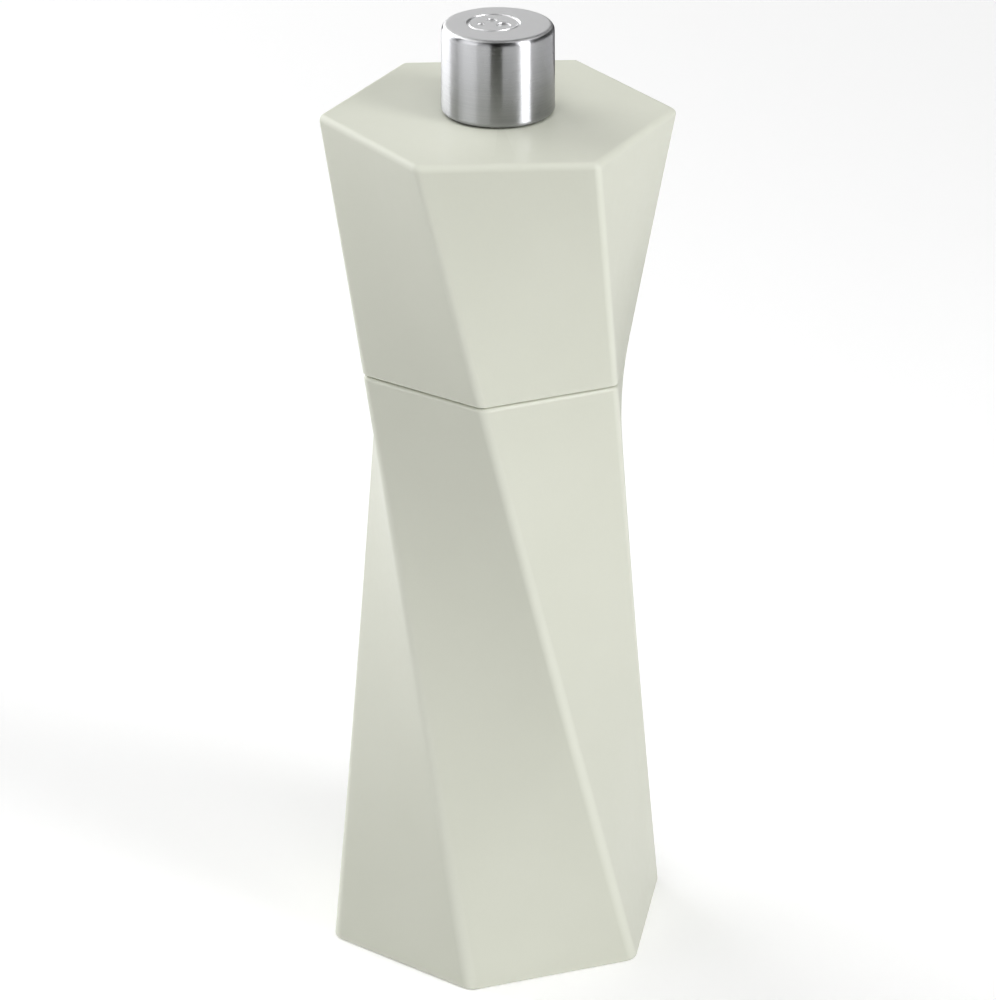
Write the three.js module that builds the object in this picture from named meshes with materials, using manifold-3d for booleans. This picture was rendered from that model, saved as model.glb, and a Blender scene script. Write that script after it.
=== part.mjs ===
// A hand pepper mill with a twisted six-sided wooden body and a knob on a square spindle.
// Turning the head turns the spindle and the rotor inside the stator. Turning the knob on the spindle's
// thread raises or lowers the rotor, which makes the grind finer or coarser.
// Millimetres, +Z up. The origin is the centre of the base, and +X points at a corner of the head's top.
import * as THREE from "three";
import { mergeVertices } from "three/addons/utils/BufferGeometryUtils.js";
import Module from "manifold-3d";

const TURN = 2 * Math.PI;

// ---- Driving dimensions: the outside -------------------------------------------------------------
const TOTAL_HEIGHT = 180;
const HEAD_TOP_Z = 163.4; // flat top of the head
const SPLIT_Z = 116.1; // middle of the joint between body and head
const SPLIT_GAP = 0.3;
const SIDES = 6;
const TOP_CORNER_R = 32.8; // axis to a sharp corner of the head's top
const BASE_CORNER_R = 33.75; // axis to a sharp corner of the base
const TWIST = (78.2 / 360) * TURN; // from a top corner to the base corner on the same straight edge
const TOP_EDGE_R = 1.8; // rounding of the long twisted edges at the top, growing evenly to the base
const BASE_EDGE_R = 3;
const BASE_FILLET = 0.7;
const TOP_FILLET = 1.3;
const SPLIT_FILLET = 0.4;

const KNOB_BASE_R = 10.35;
const KNOB_TOP_R = 10.2;
const KNOB_RIM_Z = HEAD_TOP_Z + 0.25;
const KNOB_TOP_FILLET = 0.9;
const KNOB_RIM_FILLET = 0.5;

// ---- Driving dimensions: the inside --------------------------------------------------------------
const CLEARANCE = 0.3; // radial gap between pieces that slide, turn or are pressed together
const SEAT_GAP = 0.1; // gap between flat faces that rest on each other
const CHAMBER_R = 15;
const RECESS_R = 22.6; // open recess in the base, under the grinder
const PLATE_LEDGE_Z = 9; // the retaining plate is screwed up against this ledge
const STATOR_LEDGE_Z = 23.1; // the stator and the bridge's feet are clamped under this ledge
const STATOR_R = 16.9;
const STATOR_HEIGHT = 13;

const SPINDLE_SIDE = 6;
const THREAD_R = 2.45; // M5
const STUB_R = 1.95; // M4 end that holds the rotor
const SPINDLE_SHOULDER_Z = 12.7;
const STUB_END_Z = 5;
const SQUARE_TOP_Z = 150;
const THREAD_TOP_Z = 174.5;

const ROTOR_Z = 9.6;
const ROTOR_TOP_Z = 21.6;
const ROTOR_HUB_R = 6.6;
const GRIND_ZONE_TOP_Z = 14; // fine teeth below, feed flutes above
const GRIND_SLOPE = 0.5; // how far the grinding cone widens for each millimetre down
const GRIND_GAP = 0.55; // radial gap between the fine teeth at the middle setting

const TENON_R = CHAMBER_R - 0.4;
const TENON_Z = 103;
const DRIVE_PLATE_R = 12.6;
const DRIVE_PLATE_THICKNESS = 1.5;
const SHEET_THICKNESS = 1;

// ---- How finely curved shapes are divided --------------------------------------------------------
const LARGE_ROUND = 48;
const SMALL_ROUND = 24;
const SCREW_ROUND = 12;
const LEVEL_STEP = 7; // height of one band of the twisted surface
const EDGE_STEPS = 3;
const SIDE_STEPS = 4;

// ---- Materials -----------------------------------------------------------------------------------
function finish(color, roughness, metalness) {
  return new THREE.MeshStandardMaterial({ color, roughness, metalness });
}
const LACQUERED_WOOD = finish("#d6d8ca", 0.5, 0);
const BRUSHED_STEEL = finish("#b9b9ba", 0.3, 1);
const HARD_STEEL = finish("#6f7073", 0.45, 1);
const ZINC_PLATE = finish("#c2c5c8", 0.35, 1);
const BRASS = finish("#c9a24e", 0.35, 1);
const NYLON = finish("#ecebe4", 0.5, 0);
const BLACK_PLASTIC = finish("#1d1d1f", 0.55, 0);

// ---- Solids --------------------------------------------------------------------------------------
const wasm = await Module();
wasm.setup();

function solidOf(geometry) {
  const bare = geometry.index ? geometry.toNonIndexed() : geometry.clone();
  bare.deleteAttribute("normal");
  bare.deleteAttribute("uv");
  const merged = mergeVertices(bare, 1e-4);
  return new wasm.Manifold(
    new wasm.Mesh({
      numProp: 3,
      vertProperties: merged.attributes.position.array,
      triVerts: new Uint32Array(merged.index.array),
    }),
  );
}

function geometryOf(solid) {
  const { vertProperties, triVerts } = solid.getMesh();
  const geometry = new THREE.BufferGeometry();
  geometry.setAttribute("position", new THREE.BufferAttribute(vertProperties, 3));
  geometry.setIndex(new THREE.BufferAttribute(triVerts, 1));
  geometry.computeVertexNormals();
  return geometry;
}

function cut(geometry, ...tools) {
  return geometryOf(tools.reduce((rest, tool) => rest.subtract(solidOf(tool)), solidOf(geometry)));
}

function join(...geometries) {
  return geometryOf(geometries.map(solidOf).reduce((all, one) => all.add(one)));
}

function common(a, b) {
  return geometryOf(solidOf(a).intersect(solidOf(b)));
}

// Turns an outline of [radius, z] points about the Z axis. The outline runs with material on its left.
function revolve(outline, segments) {
  const points = outline.map(([radius, z]) => new THREE.Vector2(radius, z));
  return new THREE.LatheGeometry(points, segments).rotateX(TURN / 4);
}

function cylinder(radius, low, high, segments = LARGE_ROUND) {
  return revolve([[0, low], [radius, low], [radius, high], [0, high]], segments);
}

function ring(inner, outer, low, high, segments = LARGE_ROUND) {
  const outline = [[inner, low], [outer, low], [outer, high], [inner, high], [inner, low]];
  return revolve(outline, segments);
}

function extrude(shape, low, high, curveSegments = SMALL_ROUND) {
  const options = { depth: high - low, bevelEnabled: false, curveSegments };
  return new THREE.ExtrudeGeometry(shape, options).translate(0, 0, low);
}

// A square with small chamfers on its corners, as a shape or as a hole.
function squareOutline(Kind, side, chamfer) {
  const half = side / 2;
  const near = half - chamfer;
  const corners = [
    [half, -near], [half, near], [near, half], [-near, half],
    [-half, near], [-half, -near], [-near, -half], [near, -half],
  ];
  return new Kind(corners.map(([x, y]) => new THREE.Vector2(x, y)));
}

function disc(radius) {
  return new THREE.Shape().absarc(0, 0, radius, 0, TURN);
}

function roundHole(x, y, radius) {
  return new THREE.Path().absarc(x, y, radius, 0, TURN);
}

// Places that repeat around the axis, as [x, y].
function around(count, radius, start = 0) {
  return Array.from({ length: count }, (_, i) => {
    const angle = start + (i / count) * TURN;
    return [radius * Math.cos(angle), radius * Math.sin(angle)];
  });
}

// Skins a stack of sections, each an array of the same number of points that runs anticlockwise seen
// from above, from the lowest to the highest, and closes both ends.
function loft(sections) {
  const count = sections[0].length;
  const points = sections.flat();
  const index = [];
  for (let level = 0; level + 1 < sections.length; level += 1) {
    for (let i = 0; i < count; i += 1) {
      const next = (i + 1) % count;
      const [a, b] = [level * count + i, level * count + next];
      index.push(a, b, b + count, a, b + count, a + count);
    }
  }
  const topStart = points.length - count;
  points.push(new THREE.Vector3(0, 0, sections[0][0].z));
  points.push(new THREE.Vector3(0, 0, sections.at(-1)[0].z));
  for (let i = 0; i < count; i += 1) {
    const next = (i + 1) % count;
    index.push(points.length - 2, next, i);
    index.push(points.length - 1, topStart + i, topStart + next);
  }
  return new THREE.BufferGeometry().setFromPoints(points).setIndex(index);
}

// ---- The twisted outside -------------------------------------------------------------------------

// One level of the outside. Each long edge is a straight line from a top corner to a base corner, so the
// sides are ruled surfaces and the waist comes by itself. The inset pulls the whole section inwards.
function twistedSection(z, inset) {
  const top = new THREE.Vector2(TOP_CORNER_R, 0);
  const base = new THREE.Vector2(BASE_CORNER_R, 0).rotateAround(new THREE.Vector2(), TWIST);
  const corner = top.lerp(base, 1 - z / HEAD_TOP_Z);
  const apothemShare = Math.cos(TURN / SIDES / 2);
  const edgeR = THREE.MathUtils.mapLinear(z, 0, HEAD_TOP_Z, BASE_EDGE_R, TOP_EDGE_R);
  const round = Math.max(edgeR - inset, 0.2);
  const centreR = corner.length() - (inset + round) / apothemShare;
  const points = [];
  for (let side = 0; side < SIDES; side += 1) {
    const turn = corner.angle() + (side / SIDES) * TURN;
    for (let step = 0; step <= EDGE_STEPS; step += 1) {
      const angle = turn + ((step / EDGE_STEPS - 0.5) * TURN) / SIDES;
      const x = centreR * Math.cos(turn) + round * Math.cos(angle);
      const y = centreR * Math.sin(turn) + round * Math.sin(angle);
      points.push(new THREE.Vector3(x, y, z));
    }
  }
  return withSidePoints(points);
}

// Divides the flat run between one rounded corner and the next.
function withSidePoints(points) {
  const perSide = EDGE_STEPS + 1;
  return points.flatMap((point, i) => {
    if (i % perSide !== EDGE_STEPS) return [point];
    const next = points[(i + 1) % points.length];
    const between = Array.from({ length: SIDE_STEPS - 1 }, (_, k) =>
      point.clone().lerp(next, (k + 1) / SIDE_STEPS),
    );
    return [point, ...between];
  });
}

// The levels of a rounded end, from the end face to where the side begins. Inward is +1 or -1 along Z.
function filletLevels(endZ, radius, inward) {
  const steps = 3;
  return Array.from({ length: steps + 1 }, (_, i) => {
    const angle = ((1 - i / steps) * TURN) / 4;
    return [endZ + inward * radius * (1 - Math.sin(angle)), radius * (1 - Math.cos(angle))];
  });
}

function twistedPrism(low, high, lowFillet, highFillet) {
  const from = low + lowFillet;
  const to = high - highFillet;
  const bands = Math.round((to - from) / LEVEL_STEP);
  const sideLevels = Array.from({ length: bands - 1 }, (_, i) => [
    from + ((i + 1) / bands) * (to - from),
    0,
  ]);
  const levels = [
    ...filletLevels(low, lowFillet, 1),
    ...sideLevels,
    ...filletLevels(high, highFillet, -1).reverse(),
  ];
  return loft(levels.map(([z, inset]) => twistedSection(z, inset)));
}

// ---- The fixed body ------------------------------------------------------------------------------
const BODY_TOP_Z = SPLIT_Z - SPLIT_GAP / 2;
const HEAD_BOTTOM_Z = SPLIT_Z + SPLIT_GAP / 2;
const GLIDE_RING = { inner: 17, outer: 20, low: BODY_TOP_Z - 1.15, high: BODY_TOP_Z + SPLIT_GAP / 2 };
const PLATE_SCREW = { headR: 2.2, headHeight: 1.2, shankR: 1.2, length: 8 };
const PLATE_SCREW_PLACES = around(3, 19.9, TURN / 12);
const PLATE_TOP_Z = PLATE_LEDGE_Z - SEAT_GAP;
const PLATE_LOW_Z = PLATE_TOP_Z - SHEET_THICKNESS;

// A pilot hole is a little wider and deeper than the screw in it.
function pilotHoles(places, screw, mouthZ) {
  return places.map(([x, y]) =>
    cylinder(screw.shankR + CLEARANCE, mouthZ - 1, mouthZ + screw.length, SCREW_ROUND).translate(x, y, 0),
  );
}

function bodyShell() {
  return cut(
    twistedPrism(0, BODY_TOP_Z, BASE_FILLET, SPLIT_FILLET),
    cylinder(CHAMBER_R, -1, BODY_TOP_Z + 1),
    cylinder(STATOR_R + CLEARANCE, -1, STATOR_LEDGE_Z),
    cylinder(RECESS_R, -1, PLATE_LEDGE_Z),
    ring(GLIDE_RING.inner - 0.2, GLIDE_RING.outer + 0.2, GLIDE_RING.low - SEAT_GAP, BODY_TOP_Z + 1),
    ...pilotHoles(PLATE_SCREW_PLACES, PLATE_SCREW, PLATE_LEDGE_Z),
  );
}

function glideRing() {
  return ring(GLIDE_RING.inner, GLIDE_RING.outer, GLIDE_RING.low, GLIDE_RING.high);
}

// A pan-head screw that points up, with its head's underside at z = 0.
function screw({ headR, headHeight, shankR, length }) {
  const outline = [
    [0, -headHeight], [0.7 * headR, -headHeight], [headR, -0.6 * headHeight], [headR, 0],
    [shankR, 0], [shankR, length - 2.5 * shankR], [0, length - 0.3],
  ];
  return revolve(outline, SCREW_ROUND);
}

// The sheet-steel ring that holds the grinder up in the base.
function retainingPlate() {
  const shape = disc(RECESS_R - CLEARANCE);
  shape.holes.push(roundHole(0, 0, 15.3));
  for (const [x, y] of PLATE_SCREW_PLACES) {
    shape.holes.push(roundHole(x, y, PLATE_SCREW.shankR + CLEARANCE));
  }
  return extrude(shape, PLATE_LOW_Z, PLATE_TOP_Z, SMALL_ROUND);
}

// ---- The grinder ---------------------------------------------------------------------------------
const TOOTH_POINTS = 48;
const FINE_TEETH = [1, 0]; // height of each point of a tooth, as a share of the tooth's depth
const FEED_FLUTES = [1, 0.75, 0.5, 0.25, 0, 0.35];

// The levels of a toothed cone, each given by its root radius and its teeth's depth. Between two given
// levels the teeth's heights and their turn change evenly.
function toothedSections(levels) {
  const mostTurn = 0.13;
  const rings = levels.map(({ z, root, depth, teeth, turn }) => ({
    z,
    turn,
    radii: Array.from({ length: TOOTH_POINTS }, (_, i) => root + depth * teeth[i % teeth.length]),
  }));
  const all = [rings[0]];
  for (let i = 1; i < rings.length; i += 1) {
    const steps = Math.ceil(Math.abs(rings[i].turn - rings[i - 1].turn) / mostTurn) || 1;
    for (let step = 1; step <= steps; step += 1) {
      all.push(between(rings[i - 1], rings[i], step / steps));
    }
  }
  return all.map(ringPoints);
}

function between(low, high, share) {
  const mix = THREE.MathUtils.lerp;
  return {
    z: mix(low.z, high.z, share),
    turn: mix(low.turn, high.turn, share),
    radii: low.radii.map((radius, i) => mix(radius, high.radii[i], share)),
  };
}

function ringPoints({ z, turn, radii }) {
  return radii.map((radius, i) => {
    const angle = (i / TOOTH_POINTS) * TURN + turn;
    return new THREE.Vector3(radius * Math.cos(angle), radius * Math.sin(angle), z);
  });
}

function grindRadius(z) {
  const widestR = 14.6;
  return widestR - GRIND_SLOPE * (Math.min(z, GRIND_ZONE_TOP_Z) - PLATE_LEDGE_Z);
}

// The outer ring of the grinder. Its teeth point inwards, and its funnel lets the peppercorns in.
function stator() {
  const depth = 0.7;
  const lean = 0.5; // how far round the teeth lean from the bottom to the top of the grinding zone
  const throatR = grindRadius(GRIND_ZONE_TOP_Z);
  const topZ = PLATE_LEDGE_Z + STATOR_HEIGHT;
  const belowZ = PLATE_LEDGE_Z - 0.5;
  const inside = loft(toothedSections([
    { z: belowZ, root: grindRadius(belowZ), depth, teeth: FINE_TEETH, turn: 0 },
    { z: GRIND_ZONE_TOP_Z, root: throatR, depth, teeth: FINE_TEETH, turn: lean },
    { z: topZ - 2, root: throatR, depth: 1.2, teeth: FEED_FLUTES, turn: lean + 0.3 },
    { z: topZ + 0.5, root: throatR + 2, depth: 0, teeth: FEED_FLUTES, turn: lean + 0.4 },
  ]));
  return cut(cylinder(STATOR_R, PLATE_LEDGE_Z, topZ), inside);
}

// The cone that turns inside the stator.
function rotor() {
  const depth = 0.6;
  const reach = (z) => grindRadius(z) - GRIND_GAP - depth;
  const middleZ = (GRIND_ZONE_TOP_Z + ROTOR_TOP_Z) / 2;
  const cone = loft(toothedSections([
    { z: ROTOR_Z, root: reach(ROTOR_Z), depth, teeth: FINE_TEETH, turn: 0 },
    { z: GRIND_ZONE_TOP_Z, root: reach(GRIND_ZONE_TOP_Z), depth, teeth: FINE_TEETH, turn: -0.4 },
    { z: GRIND_ZONE_TOP_Z + 0.8, root: 8.6, depth: 2.6, teeth: FEED_FLUTES, turn: -0.45 },
    { z: middleZ, root: 7.4, depth: 2.4, teeth: FEED_FLUTES, turn: -0.8 },
    { z: ROTOR_TOP_Z, root: ROTOR_HUB_R, depth: 0, teeth: FEED_FLUTES, turn: -1.1 },
  ]));
  const socket = squareOutline(THREE.Shape, SPINDLE_SIDE + CLEARANCE, 0.2);
  return cut(
    cone,
    extrude(socket, SPINDLE_SHOULDER_Z - SEAT_GAP, ROTOR_TOP_Z + 1),
    cylinder(STUB_R + CLEARANCE, ROTOR_Z - 1, ROTOR_TOP_Z, SMALL_ROUND),
  );
}

const ROTOR_WASHER = { radius: 5, low: ROTOR_Z - SEAT_GAP - 0.8, high: ROTOR_Z - SEAT_GAP };
const NUT = { acrossFlats: 7, height: 3.2 };

function rotorWasher() {
  return ring(STUB_R + CLEARANCE, ROTOR_WASHER.radius, ROTOR_WASHER.low, ROTOR_WASHER.high, SMALL_ROUND);
}

function rotorNut() {
  const cornerR = NUT.acrossFlats / Math.sqrt(3);
  const shape = new THREE.Shape(around(6, cornerR).map(([x, y]) => new THREE.Vector2(x, y)));
  shape.holes.push(roundHole(0, 0, STUB_R + CLEARANCE));
  const top = ROTOR_WASHER.low - SEAT_GAP;
  return extrude(shape, top - NUT.height, top, SCREW_ROUND);
}

function spindle() {
  const tipChamfer = 0.8;
  return join(
    extrude(squareOutline(THREE.Shape, SPINDLE_SIDE, 0.35), SPINDLE_SHOULDER_Z, SQUARE_TOP_Z),
    cylinder(STUB_R, STUB_END_Z, SPINDLE_SHOULDER_Z + 1, SMALL_ROUND),
    revolve([
      [0, SQUARE_TOP_Z - 1], [THREAD_R, SQUARE_TOP_Z - 1], [THREAD_R, THREAD_TOP_Z - tipChamfer],
      [THREAD_R - tipChamfer, THREAD_TOP_Z], [0, THREAD_TOP_Z],
    ], SMALL_ROUND),
  );
}

// ---- The bridge and the spring over the rotor ----------------------------------------------------
const FOOT_Z = STATOR_LEDGE_Z - SHEET_THICKNESS;
const BRIDGE = { low: FOOT_Z, top: 35.8, thickness: 0.9, legX: 13.3, footX: 16.8, width: 12.4 };
const SPRING_WASHER = { radius: 5.9, low: 33.9, thickness: 0.7 };
const SPRING = { wireR: 0.45, radius: 5.1, turns: 6.5, low: ROTOR_TOP_Z + SEAT_GAP, high: 33.8 };

// A strap of bent sheet that guides the spindle and takes the spring's push.
function bridge() {
  const { low, top, thickness, legX, footX, width } = BRIDGE;
  const innerX = legX - thickness;
  const outerBend = 2;
  const innerBend = outerBend - thickness;
  const shape = new THREE.Shape();
  shape.moveTo(innerX, low);
  shape.lineTo(footX + 1, low);
  shape.lineTo(footX + 1, low + thickness);
  shape.lineTo(legX, low + thickness);
  shape.absarc(legX - outerBend, top - outerBend, outerBend, 0, TURN / 4);
  shape.absarc(outerBend - legX, top - outerBend, outerBend, TURN / 4, TURN / 2);
  shape.lineTo(-legX, low + thickness);
  shape.lineTo(-footX - 1, low + thickness);
  shape.lineTo(-footX - 1, low);
  shape.lineTo(-innerX, low);
  shape.absarc(outerBend - legX, top - outerBend, innerBend, TURN / 2, TURN / 4, true);
  shape.absarc(legX - outerBend, top - outerBend, innerBend, TURN / 4, 0, true);
  const strap = extrude(shape, -width / 2, width / 2, 4).rotateX(TURN / 4);
  const rounded = common(strap, cylinder(footX, low - 1, top + 1));
  const spindleHoleR = 4.7;
  return cut(rounded, cylinder(spindleHoleR, top - 2 * thickness, top + 1, SMALL_ROUND));
}

function springWasher() {
  const shape = disc(SPRING_WASHER.radius);
  shape.holes.push(squareOutline(THREE.Path, SPINDLE_SIDE + CLEARANCE, 0.2));
  return extrude(shape, SPRING_WASHER.low, SPRING_WASHER.low + SPRING_WASHER.thickness, SCREW_ROUND);
}

// The middle line of a compression spring whose first and last turns lie closed.
class SpringLine extends THREE.Curve {
  getPoint(share, target = new THREE.Vector3()) {
    const { wireR, radius, turns, low, high } = SPRING;
    const closedPitch = 2 * wireR + 0.1;
    const turn = share * turns;
    const closed = Math.min(turn, 1) + Math.max(turn - (turns - 1), 0);
    const openTurns = turns - 2;
    const openPitch = (high - low - 2 * wireR - 2 * closedPitch) / openTurns;
    const open = THREE.MathUtils.clamp(turn - 1, 0, openTurns);
    const z = low + wireR + closed * closedPitch + open * openPitch;
    return target.set(radius * Math.cos(turn * TURN), radius * Math.sin(turn * TURN), z);
  }
}

function spring() {
  const stepsPerTurn = 14;
  return new THREE.ExtrudeGeometry(disc(SPRING.wireR), {
    steps: Math.round(SPRING.turns * stepsPerTurn),
    curveSegments: 3,
    extrudePath: new SpringLine(),
  });
}

// ---- The turning head ----------------------------------------------------------------------------
const DRIVE_PLATE_LOW_Z = TENON_Z + SEAT_GAP;
const DRIVE_PLATE_TOP_Z = DRIVE_PLATE_LOW_Z + DRIVE_PLATE_THICKNESS;
const DRIVE_SCREW = { headR: 2.3, headHeight: 1.3, shankR: 1.2, length: 9 };
const DRIVE_SCREW_PLACES = around(2, 8.8);

function headShell() {
  const boreR = 4.8; // clears the square spindle
  const threadHoleR = 3.1;
  const plateSeatZ = DRIVE_PLATE_TOP_Z + SEAT_GAP;
  return cut(
    join(
      twistedPrism(HEAD_BOTTOM_Z, HEAD_TOP_Z, SPLIT_FILLET, TOP_FILLET),
      cylinder(TENON_R, TENON_Z, HEAD_BOTTOM_Z + 2),
    ),
    cylinder(DRIVE_PLATE_R + CLEARANCE, TENON_Z - 1, plateSeatZ),
    cylinder(boreR, TENON_Z - 1, SQUARE_TOP_Z + 2, SMALL_ROUND),
    cylinder(threadHoleR, TENON_Z, HEAD_TOP_Z + 1, SMALL_ROUND),
    ...pilotHoles(DRIVE_SCREW_PLACES, DRIVE_SCREW, DRIVE_PLATE_LOW_Z),
  );
}

// The steel disc that carries the head's turning to the square spindle.
function drivePlate() {
  const shape = disc(DRIVE_PLATE_R);
  shape.holes.push(squareOutline(THREE.Path, SPINDLE_SIDE + CLEARANCE, 0.2));
  for (const [x, y] of DRIVE_SCREW_PLACES) {
    shape.holes.push(roundHole(x, y, DRIVE_SCREW.shankR + CLEARANCE));
  }
  return extrude(shape, DRIVE_PLATE_LOW_Z, DRIVE_PLATE_TOP_Z, SMALL_ROUND);
}

// ---- The knob ------------------------------------------------------------------------------------
const CAP_INNER_R = 8.7;
const CAP_INNER_TOP_Z = TOTAL_HEIGHT - 2;
const KNOB_WASHER = { inner: 3.2, outer: 8.3, low: HEAD_TOP_Z + 0.05, high: HEAD_TOP_Z + 1.45 };
const CORE_LOW_Z = KNOB_WASHER.high + 0.2;
const INSERT = { radius: 4.1, boreR: THREAD_R + CLEARANCE, low: CORE_LOW_Z + 0.1, high: CORE_LOW_Z + 8 };

function knobCap() {
  const outline = new THREE.Path();
  outline.moveTo(0, CAP_INNER_TOP_Z);
  outline.lineTo(CAP_INNER_R, CAP_INNER_TOP_Z);
  outline.lineTo(CAP_INNER_R, KNOB_RIM_Z);
  outline.absarc(
    KNOB_BASE_R - KNOB_RIM_FILLET, KNOB_RIM_Z + KNOB_RIM_FILLET, KNOB_RIM_FILLET, -TURN / 4, 0,
  );
  outline.absarc(
    KNOB_TOP_R - KNOB_TOP_FILLET, TOTAL_HEIGHT - KNOB_TOP_FILLET, KNOB_TOP_FILLET, 0, TURN / 4,
  );
  outline.lineTo(0, TOTAL_HEIGHT);
  return revolve(outline.getPoints(2).map(({ x, y }) => [x, y]), LARGE_ROUND);
}

// The plastic plug inside the cap, which holds the threaded insert.
function knobCore() {
  const radius = CAP_INNER_R - CLEARANCE;
  const threadRoomZ = THREAD_TOP_Z + 1.6;
  return cut(
    cylinder(radius, CORE_LOW_Z, CAP_INNER_TOP_Z - SEAT_GAP),
    cylinder(INSERT.radius + CLEARANCE, CORE_LOW_Z - 1, INSERT.high + SEAT_GAP, SMALL_ROUND),
    cylinder(INSERT.boreR, CORE_LOW_Z, threadRoomZ, SMALL_ROUND),
  );
}

function knobInsert() {
  return ring(INSERT.boreR, INSERT.radius, INSERT.low, INSERT.high, SMALL_ROUND);
}

function knobWasher() {
  return ring(KNOB_WASHER.inner, KNOB_WASHER.outer, KNOB_WASHER.low, KNOB_WASHER.high, SMALL_ROUND);
}

// ---- The assembly --------------------------------------------------------------------------------
function piece(name, geometry, material, [x, y, z] = [0, 0, 0]) {
  const mesh = new THREE.Mesh(geometry, material);
  mesh.name = name;
  mesh.position.set(x, y, z);
  return mesh;
}

function group(...pieces) {
  return new THREE.Group().add(...pieces);
}

function screws(name, places, shape, undersideZ) {
  return places.map(([x, y], i) =>
    piece(`${name}_${i + 1}`, screw(shape), ZINC_PLATE, [x, y, undersideZ]),
  );
}

const fixedBody = group(
  piece("body_shell", bodyShell(), LACQUERED_WOOD),
  piece("glide_ring", glideRing(), NYLON),
  piece("stator", stator(), HARD_STEEL),
  piece("bridge", bridge(), ZINC_PLATE),
  piece("retaining_plate", retainingPlate(), ZINC_PLATE),
  ...screws("plate_screw", PLATE_SCREW_PLACES, PLATE_SCREW, PLATE_LOW_Z - SEAT_GAP),
);

const springSeat = group(
  piece("spring_washer", springWasher(), ZINC_PLATE),
  piece("spring", spring(), HARD_STEEL),
);

const drive = group(
  piece("spindle", spindle(), ZINC_PLATE),
  piece("rotor", rotor(), HARD_STEEL),
  piece("rotor_washer", rotorWasher(), ZINC_PLATE),
  piece("rotor_nut", rotorNut(), ZINC_PLATE),
);

const head = group(
  piece("head_shell", headShell(), LACQUERED_WOOD),
  piece("drive_plate", drivePlate(), ZINC_PLATE),
  ...screws("drive_screw", DRIVE_SCREW_PLACES, DRIVE_SCREW, DRIVE_PLATE_LOW_Z - SEAT_GAP),
);

const knob = group(
  piece("knob_washer", knobWasher(), NYLON),
  piece("knob_cap", knobCap(), BRUSHED_STEEL),
  piece("knob_core", knobCore(), BLACK_PLASTIC),
  piece("knob_insert", knobInsert(), BRASS),
);

export default group(fixedBody, springSeat, drive, head, knob);
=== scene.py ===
# A pepper mill: a lacquered wooden body and head with twisted flat sides, a brushed steel knob, and
# the grinder and spindle inside. The mill's shapes are in millimetres until make_mesh() turns them
# into metres. The stage round it is in metres.
import math

import bpy
from mathutils import Matrix, Vector


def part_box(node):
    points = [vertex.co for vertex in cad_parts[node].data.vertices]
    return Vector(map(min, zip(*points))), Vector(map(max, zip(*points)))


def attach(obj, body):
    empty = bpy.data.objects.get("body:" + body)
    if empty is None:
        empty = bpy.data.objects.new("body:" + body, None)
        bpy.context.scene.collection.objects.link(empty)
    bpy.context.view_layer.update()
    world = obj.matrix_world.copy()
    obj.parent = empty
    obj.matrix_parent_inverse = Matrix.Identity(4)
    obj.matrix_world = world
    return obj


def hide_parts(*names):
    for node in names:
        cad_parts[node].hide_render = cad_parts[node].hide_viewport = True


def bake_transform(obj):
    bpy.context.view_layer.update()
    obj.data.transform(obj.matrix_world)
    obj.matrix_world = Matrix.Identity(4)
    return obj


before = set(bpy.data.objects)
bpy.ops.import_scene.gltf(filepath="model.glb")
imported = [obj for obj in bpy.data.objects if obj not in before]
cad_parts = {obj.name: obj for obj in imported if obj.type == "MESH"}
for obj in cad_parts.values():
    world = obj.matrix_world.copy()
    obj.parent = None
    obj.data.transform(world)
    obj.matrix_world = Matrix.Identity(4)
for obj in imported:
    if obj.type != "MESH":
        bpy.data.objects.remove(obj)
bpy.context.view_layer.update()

MM = 0.001
TURN = 2 * math.pi


def span(node):
    """A CAD node's half width along X, its lowest and its highest point, in millimetres."""
    low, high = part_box(node)
    return (high.x - low.x) / 2 / MM, low.z / MM, high.z / MM


# ---- Dimensions that the CAD boxes give --------------------------------------
HEAD_TOP = span("head_shell")[2]
BODY_TOP = span("body_shell")[2]
TENON_BOTTOM = span("head_shell")[1]
KNOB_R, KNOB_RIM, KNOB_TOP = span("knob_cap")
GLIDE_R, GLIDE_LOW = span("glide_ring")[:2]
STATOR_R, STATOR_LOW, STATOR_HIGH = span("stator")
ROTOR_LOW, ROTOR_HIGH = span("rotor")[1:]
PLATE_R, PLATE_LOW, PLATE_HIGH = span("retaining_plate")
SPINDLE_LOW, SPINDLE_HIGH = span("spindle")[1:]
SPINDLE_SIDE = 2 * span("spindle")[0]

# ---- Dimensions of the twisted outside ---------------------------------------
SIDES = 6
TOP_CORNER_R = 32.8
BASE_CORNER_R = 33.75
TWIST = math.radians(78.2)
TOP_EDGE_R = 1.8
BASE_EDGE_R = 3.0
JOINT_GAP = 0.1
HEAD_BOTTOM = BODY_TOP + JOINT_GAP
TOP_FILLET = 1.4
BASE_FILLET = 0.8
BODY_TOP_FILLET = 0.9
HEAD_BOTTOM_FILLET = 0.5
FILLET_STEPS = 8
EDGE_STEPS = 10
SIDE_STEPS = 14
LEVEL_SPACING = 2

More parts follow.
